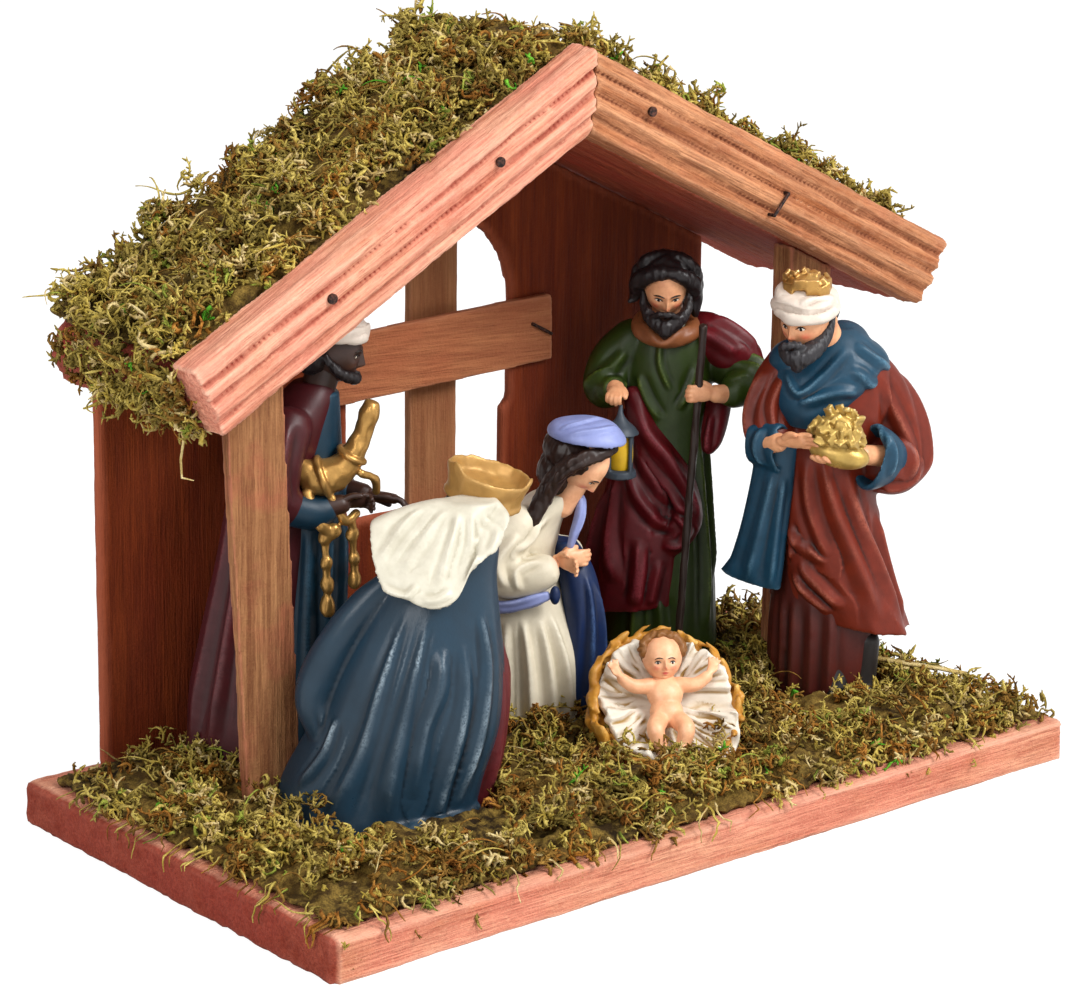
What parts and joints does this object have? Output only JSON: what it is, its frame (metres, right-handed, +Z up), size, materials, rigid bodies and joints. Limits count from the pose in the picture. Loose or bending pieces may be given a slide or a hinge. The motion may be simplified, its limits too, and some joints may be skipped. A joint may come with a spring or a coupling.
{
  "type": "wooden nativity stable",
  "caption": "Open-fronted stained wood shelter with a pitched roof, arched rear window, moss-covered base and roof, and small cast robed figures around an infant in a straw crib.",
  "frame": {"origin": "centre of the base board's underside", "axes": "+X along the front edge towards the right end, +Y towards the back wall, +Z up"},
  "size_m": [0.2228, 0.116, 0.1694],
  "materials": {
    "stained_wood": "stained, matte",
    "rough_red_wood": "rough sawn, red wash",
    "pink_moulding": "red wash over grooves, matte",
    "tan_moulding": "stained, matte",
    "tan_wood": "rough sawn, stained",
    "steel": "dark, tarnished",
    "moss": "dried fibres",
    "mary_paint": "painted resin",
    "joseph_paint": "painted resin",
    "joseph_staff_paint": "painted resin",
    "infant_in_crib_paint": "painted resin",
    "blue_king_paint": "painted resin, light gloss",
    "turban_king_paint": "painted resin",
    "horn_king_paint": "painted resin"
  },
  "bodies": {
    "root": {"base_board": "rough_red_wood", "back_wall": "stained_wood", "window_mullion": "tan_wood", "window_crossbar": "tan_wood", "post_left": "tan_wood", "post_right": "stained_wood", "roof_board_left": "rough_red_wood", "roof_board_right": "rough_red_wood", "fascia_left": "pink_moulding", "fascia_right": "tan_moulding", "fascia_nails": "steel", "fascia_staple": "steel", "crossbar_staples": "steel", "mullion_staples": "steel", "base_brads": "steel", "base_moss": "moss", "roof_moss_left": "moss", "roof_moss_right": "moss", "mary": "mary_paint", "joseph": "joseph_paint", "joseph_staff": "joseph_staff_paint", "infant_in_crib": "infant_in_crib_paint", "blue_king": "blue_king_paint", "turban_king": "turban_king_paint", "horn_king": "horn_king_paint"}
  },
  "joints": []
}
